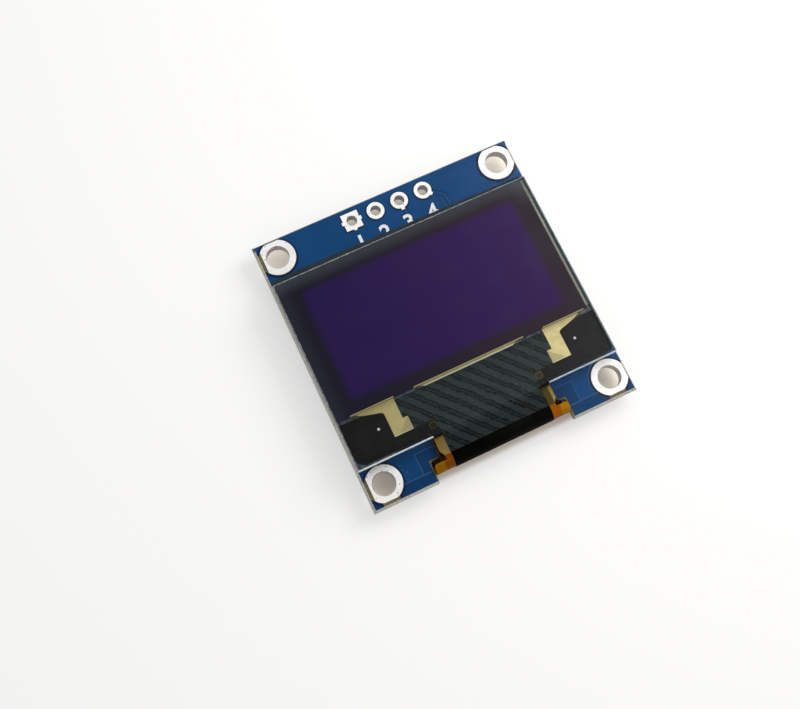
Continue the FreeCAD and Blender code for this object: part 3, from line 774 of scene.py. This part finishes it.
plainLooks = {  # light and dark tone, size of the grain in mm, roughness and shine
    "blackInk": {"light": (0.0050, 0.0050, 0.0042), "dark": (0.0025, 0.0025, 0.002), "size": 1.2,
                 "roughness": 0.45, "shine": 0.08},
    "rearGlass": {"light": (0.10, 0.11, 0.12), "dark": (0.05, 0.055, 0.06), "size": 2.0, "roughness": 0.15},
    "darkTape": {"light": (0.022, 0.032, 0.036), "dark": (0.012, 0.018, 0.021), "size": 1.5,
                 "roughness": 0.5, "shine": 0.2},
    "emitterLayer": {"light": (0.10, 0.05, 0.25), "dark": (0.06, 0.03, 0.16), "size": 1.0, "roughness": 0.3},
    "foamTape": {"light": (0.55, 0.55, 0.52), "dark": (0.42, 0.42, 0.40), "size": 0.6, "roughness": 0.8},
    "bendInk": {"light": (0.0022, 0.0024, 0.0015), "dark": (0.0012, 0.0012, 0.001), "size": 1.2,
                "roughness": 0.5, "shine": 0.02},
    "whiteInk": {"light": (0.85, 0.85, 0.84), "dark": (0.72, 0.72, 0.71), "size": 0.3, "roughness": 0.5},
    "blackMoulding": {"light": (0.018, 0.018, 0.019), "dark": (0.010, 0.010, 0.011), "size": 0.3,
                      "roughness": 0.55},
    "capacitorCeramic": {"light": (0.36, 0.25, 0.15), "dark": (0.30, 0.20, 0.12), "size": 0.3,
                         "roughness": 0.45},
    "alumina": {"light": (0.75, 0.75, 0.73), "dark": (0.62, 0.62, 0.60), "size": 0.3, "roughness": 0.5},
    "resistorCoat": {"light": (0.012, 0.012, 0.014), "dark": (0.008, 0.008, 0.009), "size": 0.2,
                     "roughness": 0.3},
    "siliconChip": {"light": (0.12, 0.12, 0.13), "dark": (0.08, 0.08, 0.09), "size": 0.6, "roughness": 0.25},
}


def plainFinish(name):
    material, tree, shader, place = newFinish(name)
    look = plainLooks[name]
    cloud = grainMask(tree, place, look["size"], 4.0)
    fine = grainMask(tree, place, look["size"] * 0.15, 3.0)
    feed(tree, shader, {
        "Base Color": tint(tree, cloud, look["light"], look["dark"]),
        "Roughness": vary(tree, look["roughness"], fine, 0.12),
        "Normal": relief(tree, fine, 0.008),
        "Specular IOR Level": look.get("shine", 0.5),
    })
    return material


# film

filmShape = {
    "frontZ": 3.03,
    "backZ": 1.06,
    "bendY": -12.135,
    "bendCuts": 40,
    "thickness": 0.08,
    "sleeveThickness": 0.04,
    "sleeveLift": 0.06,
}
filmRadius = (filmShape["frontZ"] - filmShape["backZ"]) / 2
filmBendLength = math.pi * filmRadius
filmEnd = filmShape["bendY"] - filmBendLength
filmOutline = [  # x and distance along the film, in mm, from the head's right corner round to its left
    (9.18, -5.36), (9.18, -5.44), (13.17, -5.44), (13.17, -9.28), (12.77, -9.68), (6.04, -9.68),
    (6.04, -11.395), (5.76, -11.835), (5.76, -12.17), (6.63, -12.17), (6.77, -12.208), (6.872, -12.31),
    (6.91, -12.466), (6.91, filmEnd - 0.8),
    (9.94, filmEnd - 1.7), (9.94, filmEnd - 4.95), (-9.86, filmEnd - 4.95), (-9.86, filmEnd - 1.7),
    (-6.97, filmEnd - 0.8), (-6.97, -12.602), (-6.932, -12.446), (-6.83, -12.344), (-6.69, -12.306),
    (-5.68, -12.306), (-5.68, -11.835), (-5.96, -11.395),
    (-5.96, -9.68), (-12.47, -9.68), (-13.47, -8.68), (-13.47, -5.44), (-9.10, -5.44), (-9.10, -5.36),
]
sleeveOutline = [(5.13, -11.875), (5.13, filmEnd - 2.2), (-5.05, filmEnd - 2.2), (-5.05, -11.875)]


def onFilm(x, along, lift):
    past = filmShape["bendY"] - along
    if past <= 0.0:
        return Vector((x, along, filmShape["frontZ"] + lift)) * mm
    if past >= filmBendLength:
        return Vector((x, filmShape["bendY"] + past - filmBendLength, filmShape["backZ"] - lift)) * mm
    turn = past / filmRadius
    r = filmRadius + lift
    middleZ = (filmShape["frontZ"] + filmShape["backZ"]) / 2
    return Vector((x, filmShape["bendY"] - r * math.sin(turn), middleZ + r * math.cos(turn))) * mm


def makeFilmPiece(name, outline, lift, thickness, material, replaced):
    shape = bmesh.new()
    corners = [shape.verts.new((x, along, 0.0)) for x, along in outline]
    shape.faces.new(corners)
    for i in range(filmShape["bendCuts"] + 1):
        cut(shape, (0, filmShape["bendY"] - filmBendLength * i / filmShape["bendCuts"], 0), (0, 1, 0))
    bmesh.ops.recalc_face_normals(shape, faces=shape.faces[:])
    if sum(face.normal.z for face in shape.faces) < 0:
        bmesh.ops.reverse_faces(shape, faces=shape.faces[:])
    for point in shape.verts:
        point.co = onFilm(point.co.x, point.co.y, lift)
    for face in shape.faces:
        face.smooth = True
    piece = placePiece(name, toMesh(name, shape), material, replaced)
    skin = piece.modifiers.new("skin", "SOLIDIFY")
    skin.thickness = thickness * mm
    skin.offset = 0.0


fieldLook = {
    "band": (0.0235, 0.035, 0.034),
    "between": (0.015, 0.023, 0.023),
    "line": (0.0002, 0.0004, 0.0005),
    "turn": 48.0,  # degrees
    "pitch": 1.08,
    "offset": 0.165,  # of a line from the middle between two bands
    "lineEdge": (0.054, 0.078),
    "bandEdge": (0.08, 0.2),
}


def fieldFinish():
    material, tree, shader, place = newFinish("stripedCopper")
    turn = math.radians(fieldLook["turn"])
    across = vectorSums(tree, "DOT_PRODUCT", place, (math.sin(turn), math.cos(turn), 0.0))
    along = vectorSums(tree, "DOT_PRODUCT", place, (math.cos(turn), -math.sin(turn), 0.0))

    # the stripes waver by a fine ripple, a jag and a slow drift
    ripple = times(tree, sums(tree, "SINE", times(tree, along, 8.2)), 0.012)
    jag = grainMask(tree, place, 0.30, 2.0, 0.3, 0.7)
    drift = grainMask(tree, place, 1.4, 2.0, 0.3, 0.7)
    across = plus(tree, across, vary(tree, ripple, jag, 0.15))
    across = vary(tree, across, drift, 0.07)
    part = sums(tree, "FRACT", sums(tree, "DIVIDE", across, fieldLook["pitch"]))
    away = times(tree, farFrom(tree, part, 0.5), fieldLook["pitch"])
    between = ease(tree, away, *fieldLook["bandEdge"], 1.0, 0.0)

    # beaded dark lines, fainter here and there
    beads = grainMask(tree, place, 0.15, 2.0)
    breaks = grainMask(tree, place, 0.28, 2.0, 0.3, 0.62)
    nearLine = minus(tree, farFrom(tree, away, fieldLook["offset"]), times(tree, beads, 0.035))
    line = ease(tree, nearLine, *fieldLook["lineEdge"], 1.0, 0.0)
    line = times(tree, line, vary(tree, 0.8, breaks, 0.2))
    grain = grainMask(tree, place, 0.5, 4.0)
    band = tint(tree, times(tree, grain, 0.35), fieldLook["band"], fieldLook["between"])
    colour = tint(tree, between, band, fieldLook["between"])
    # painted shade: the field is darker just below the glass's edge
    down = ease(tree, split(tree, place)[1], -10.6, -9.9, 0.4, 0.0)
    colour = tint(tree, down, colour, fieldLook["line"])
    colour = tint(tree, line, colour, fieldLook["line"])
    height = minus(tree, times(tree, grain, 0.15), times(tree, line, 0.8))
    feed(tree, shader, {
        "Base Color": colour,
        "Roughness": vary(tree, 0.38, grain, 0.15),
        "Normal": relief(tree, height, 0.02),
        "Specular IOR Level": 0.12,
    })
    return material


leadLook = {
    # the gold's left tone is a painted shaded copy of its bright tone
    "bright": (0.70, 0.55, 0.25),
    "left": (0.54, 0.43, 0.175),
    "deep": (0.36, 0.30, 0.135),
    "outline": (0.80, 0.75, 0.55),
    "topLine": (0.10, 0.09, 0.05),
    "metal": 0.35,
}


def leadFinish():
    material, tree, shader, place = newFinish("paleGold")
    x, y = split(tree, place)[:2]
    beside = farFrom(tree, x, filmMiddle)
    fold = ease(tree, vary(tree, y, beside, 0.883), -0.86, -0.76, 1.0, 0.0)
    fold = times(tree, fold, ease(tree, y, -7.13, -6.98, 1.0, 0.0))
    grain = grainMask(tree, place, 0.7, 4.0)
    # painted light: the gold is darker on the left and brighter on the right
    colour = tint(tree, ease(tree, x, -9.0, 9.0), leadLook["left"], leadLook["bright"])
    colour = tint(tree, times(tree, grain, 0.25), colour, leadLook["deep"])
    colour = tint(tree, times(tree, fold, 0.75), colour, leadLook["deep"])

    # a dark line at the top, pale ones on the shoulder and at the foot
    topLine = ease(tree, farFrom(tree, y, -5.03), 0.02, 0.05, 0.8, 0.0)
    shoulder = times(tree, ease(tree, farFrom(tree, y, -5.32), 0.03, 0.07, 1.0, 0.0),
                     ease(tree, beside, 4.6, 4.9, 1.0, 0.0))
    foot = times(tree, ease(tree, y, -8.47, -8.39, 1.0, 0.0), 0.7)
    colour = tint(tree, topLine, colour, leadLook["topLine"])
    colour = tint(tree, sums(tree, "MAXIMUM", foot, shoulder), colour, leadLook["outline"])
    feed(tree, shader, {
        "Base Color": colour,
        "Metallic": leadLook["metal"],
        "Roughness": vary(tree, 0.38, grain, 0.15),
        "Normal": relief(tree, grain, 0.008),
    })
    return material


amberLook = {
    "shadedUnderGlass": (0.034, 0.029, 0.015),
    "window": (0.12, 0.105, 0.058),
    "khaki": (0.44, 0.29, 0.095),
    "olive": (0.065, 0.050, 0.012),
    "sand": (0.28, 0.24, 0.080),
    "orange": (0.27, 0.070, 0.0002),
    "yellow": (0.36, 0.155, 0.0004),
    "back": (0.34, 0.17, 0.012),
    "trace": (0.20, 0.085, 0.008),
    "stain": (0.10, 0.05, 0.006),
    "windows": [(-5.455, -8.955, 0.33, 0.28), (5.535, -8.955, 0.33, 0.28)],
    "tracePitch": 0.62,
}


def amberFinish():
    material, tree, shader, place = newFinish("amberFilm")
    x, y, z = split(tree, place)
    grain = grainMask(tree, place, 1.1, 4.0)
    beside = farFrom(tree, x, filmMiddle)

    # the front, from the head down to the lobes, with the see-through film's light and shade painted by
    # place: dark under the glass, khaki, olive and sand on the margins, deep orange towards the bend and a
    # lighter yellow on the lobes
    sand = tint(tree, ease(tree, x, 5.72, 5.80), amberLook["olive"], amberLook["sand"])
    khaki = tint(tree, ease(tree, x, -1.0, 1.0), amberLook["khaki"], sand)
    colour = tint(tree, ease(tree, y, -10.35, -10.08, 1.0, 0.0), amberLook["shadedUnderGlass"], khaki)
    windows = [areaMasks(tree, place, area, 0.2, 0.03, 0.07)["Line"] for area in amberLook["windows"]]
    colour = tint(tree, strongest(tree, windows), colour, amberLook["window"])
    colour = tint(tree, ease(tree, y, -11.96, -11.84, 1.0, 0.0), colour, amberLook["orange"])
    colour = tint(tree, ease(tree, beside, 5.95, 6.05), colour, amberLook["yellow"])

    # the back, with its traces
    part = sums(tree, "FRACT", plus(tree, sums(tree, "DIVIDE", x, amberLook["tracePitch"]), 0.45))
    trace = times(tree, ease(tree, farFrom(tree, part, 0.5), 0.2, 0.28, 1.0, 0.0),
                  ease(tree, beside, 9.2, 9.4, 1.0, 0.0))
    onBack = times(tree, ease(tree, z, 1.2, 1.5, 1.0, 0.0), ease(tree, y, -12.6, -12.2))
    backColour = tint(tree, trace, amberLook["back"], amberLook["trace"])
    colour = tint(tree, onBack, colour, backColour)
    colour = tint(tree, times(tree, grain, 0.3), colour, amberLook["stain"])
    feed(tree, shader, {
        "Base Color": colour,
        "Roughness": vary(tree, 0.3, grain, 0.12),
        "Normal": relief(tree, plus(tree, grain, times(tree, trace, onBack)), 0.012),
        "Specular IOR Level": 0.04,
    })
    return material


# lamps, floor and surroundings

lampPlan = {
    "rightBox": {"place": (85.0, 20.0, 85.0), "size": (70.0, 70.0), "power": 0.085, "shows": True},
    "backBox": {"place": (70.0, 190.0, 290.0), "size": (260.0, 200.0), "power": 0.22, "shows": False},
}
surroundings = {
    "level": 0.66,
    "overhead": 0.08,  # level in a dark disc round the axis
    "axis": (-0.10, 0.19, 0.977),
    "darkFrom": 0.828,
    "darkTo": 0.975,
}
floorLook = {
    "tone": (0.97, 0.955, 0.94),
    "shadedFloorTone": (0.97, 0.90, 0.80),  # painted warm shade of the floor under the board, seen through the board's holes
    "own": 0.5,  # share of plain white that the camera sees
    "half": 600.0,
    "board": ((0.0, 0.0), (13.4, 13.6)),  # middle and half size of the painted shadow patch under the board
    "header": ((0.05, 12.5), (5.6, 1.3)),
    "softness": 0.3,
    "paintedShadow": (0.84, 0.30),  # painted shadow under the board: share of the white glow lost at its foot and at its top
    "headerPaintedShadow": 0.52,
}


def makeLamps():
    for name, plan in lampPlan.items():
        data = bpy.data.lights.new(name, "AREA")
        data.shape = "RECTANGLE"
        data.size, data.size_y = [side * mm for side in plan["size"]]
        data.energy = plan["power"]
        lamp = bpy.data.objects.new(name, data)
        bpy.context.collection.objects.link(lamp)
        lamp.location = Vector(plan["place"]) * mm
        lamp.rotation_euler = Vector(plan["place"]).to_track_quat("Z", "Y").to_euler()
        lamp.visible_camera = False
        lamp.visible_glossy = plan["shows"]


def makeWorld():
    world = bpy.data.worlds.new("studio")
    bpy.context.scene.world = world
    world.use_nodes = True
    tree = world.node_tree
    direction = put(tree, "TexCoord").outputs["Generated"]
    up = split(tree, direction)[2]
    near = vectorSums(tree, "DOT_PRODUCT", direction, surroundings["axis"])
    shade = ease(tree, near, surroundings["darkFrom"], surroundings["darkTo"],
                 surroundings["level"], surroundings["overhead"])
    light = tree.nodes["Background"]
    light.inputs["Color"].default_value = (1.0, 1.0, 1.0, 1.0)
    feed(tree, light, {"Strength": shade})
    white = put(tree, "Background", {"Color": (1.0, 1.0, 1.0, 1.0), "Strength": 1.0})
    path = put(tree, "LightPath").outputs
    low = ease(tree, up, 0.2, 0.5, 1.0, 0.0)
    behind = times(tree, path["Is Transmission Ray"], low)
    seen = sums(tree, "MAXIMUM", path["Is Camera Ray"], behind)
    mix = put(tree, "MixShader", {0: seen, 1: light.outputs[0], 2: white.outputs[0]})
    tree.links.new(mix.outputs[0], tree.nodes["World Output"].inputs["Surface"])


def floorPatch(tree, spot, middle, half):
    softness = floorLook["softness"]
    mask = 1.0
    for i in range(2):
        away = farFrom(tree, spot[i], middle[i] * mm)
        side = ease(tree, away, (half[i] - softness) * mm, (half[i] + softness) * mm, 1.0, 0.0)
        mask = times(tree, side, mask)
    return mask


def makeFloor():
    mesh = bpy.data.meshes.new("studioFloor")
    half = floorLook["half"] * mm
    corners = [(-half, -half, 0.0), (half, -half, 0.0), (half, half, 0.0), (-half, half, 0.0)]
    mesh.from_pydata(corners, [], [(0, 1, 2, 3)])
    floor = bpy.data.objects.new("studioFloor", mesh)
    bpy.context.collection.objects.link(floor)
    material = bpy.data.materials.new("floorPaper")
    material.use_nodes = True
    tree = material.node_tree
    shader = tree.nodes["Principled BSDF"]
    spot = split(tree, put(tree, "TexCoord").outputs["Object"])
    under = floorPatch(tree, spot, *floorLook["board"])
    paper = tint(tree, under, floorLook["tone"], floorLook["shadedFloorTone"])
    feed(tree, shader, {"Base Color": paper, "Roughness": 0.9, "Specular IOR Level": 0.1})
    white = tint(tree, under, (1.0, 1.0, 1.0), floorLook["shadedFloorTone"])
    glow = put(tree, "Emission", {"Color": white, "Strength": 1.0})
    path = put(tree, "LightPath").outputs
    seen = sums(tree, "MAXIMUM", path["Is Camera Ray"], path["Is Glossy Ray"])
    seen = sums(tree, "MAXIMUM", seen, path["Is Transmission Ray"])
    share = times(tree, seen, floorLook["own"])
    # painted shadow: the glow the camera sees is cut under the board, more at its foot, and under the header
    slope = plus(tree, times(tree, spot[0], 0.6), spot[1])
    paintedShadow = ease(tree, slope, -6.0 * mm, 5.0 * mm, *floorLook["paintedShadow"])
    underHeader = floorPatch(tree, spot, *floorLook["header"])
    paintedShadow = sums(tree, "MAXIMUM", paintedShadow, times(tree, underHeader, floorLook["headerPaintedShadow"]))
    share = times(tree, share, minus(tree, 1.0, times(tree, under, paintedShadow)))
    mix = put(tree, "MixShader", {0: share, 1: shader.outputs[0], 2: glow.outputs[0]})
    tree.links.new(mix.outputs[0], tree.nodes["Material Output"].inputs["Surface"])
    mesh.materials.append(material)


makeCamera()
makeLamps()
makeWorld()
makeFloor()
print("camera, lamps and floor ready")

dress(laminateFinish(), "printed_board")
dress(coatFinish("frontCoat", frontCopper), "front_solder_mask")
dress(coatFinish("backCoat", backCopper), "back_solder_mask")
tin = tinFinish()
dress(tin, *allNodes("mounting_ring"), *allNodes("header_pad"), "film_solder_joints", "chip_solder")
print("board ready")

ink = plainFinish("blackInk")
field = fieldFinish()
makeDisplayGlass({
    "clear": clearGlassFinish(),
    "ground": groundGlassFinish("groundGlassHighlight", glassLook["edge"]),
    "shadedRim": groundGlassFinish("shadedGlassEdge", glassLook["shadedEdgeTones"]),
    # black ink as painted shade on the rim over the film's margins
    "dark": ink,
    "thin": thinEdgeFinish(),
})
dress(polarizerFinish(), "polarizer")
dress(plainFinish("rearGlass"), "rear_glass")
dress(sealFinish(), "seal_frame")
makeLedgeResin(resinFinish())
makeTapeEdge(plainFinish("darkTape"))
dress(plainFinish("emitterLayer"), "emitter_film")
dress(plainFinish("foamTape"), "panel_tape_upper", "panel_tape_lower")
print("panel ready")

bendInk = plainFinish("bendInk")
gold = leadFinish()
amber = amberFinish()
white = plainFinish("whiteInk")
dress(ink, "film_ink_left", "film_ink_right")
dress(gold, "film_lead_left", "film_lead_right", "film_lead_middle")
dress(field, "film_field")
dress(white, "film_fiducials")
makeFilmPiece("flexFilm", filmOutline, 0.0, filmShape["thickness"], amber, ["film_base"])
makeFilmPiece("bendSleeve", sleeveOutline, filmShape["sleeveLift"], filmShape["sleeveThickness"], bendInk,
              ["film_bend_ink"])
print("film ready")

dress(plainFinish("blackMoulding"), "regulator_body", "diode_body")
dress(plainFinish("capacitorCeramic"), *allNodes("capacitor", "_body"))
dress(plainFinish("alumina"), *allNodes("resistor", "_body"))
dress(plainFinish("resistorCoat"), "resistor_coats")
dress(plainFinish("siliconChip"), "driver_chip")
dress(tin, "regulator_leads", "diode_leads")
dress(tin, *allNodes("capacitor", "_ends"), *allNodes("resistor", "_ends"))
print("back parts ready")

numberLook = {"height": 2.15, "y": 9.28, "lift": 2.302, "thickness": 0.012, "swell": 0.05}


def makePinNumbers():
    for i, x in enumerate(headerPlaces):
        words = bpy.data.curves.new("pinNumber_%d" % (i + 1), "FONT")
        words.body = str(i + 1)
        words.size = numberLook["height"] * mm
        words.align_x = "CENTER"
        words.extrude = numberLook["thickness"] * mm / 2
        words.offset = numberLook["swell"] * mm
        number = bpy.data.objects.new("pinNumber_%d" % (i + 1), words)
        bpy.context.collection.objects.link(number)
        z = numberLook["lift"] + numberLook["thickness"] / 2
        number.location = Vector((x, numberLook["y"], z)) * mm
        words.materials.append(white)
        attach(number, "root")


makePinNumbers()
print("numbers ready")

bpy.context.scene.view_settings.view_transform = "Standard"
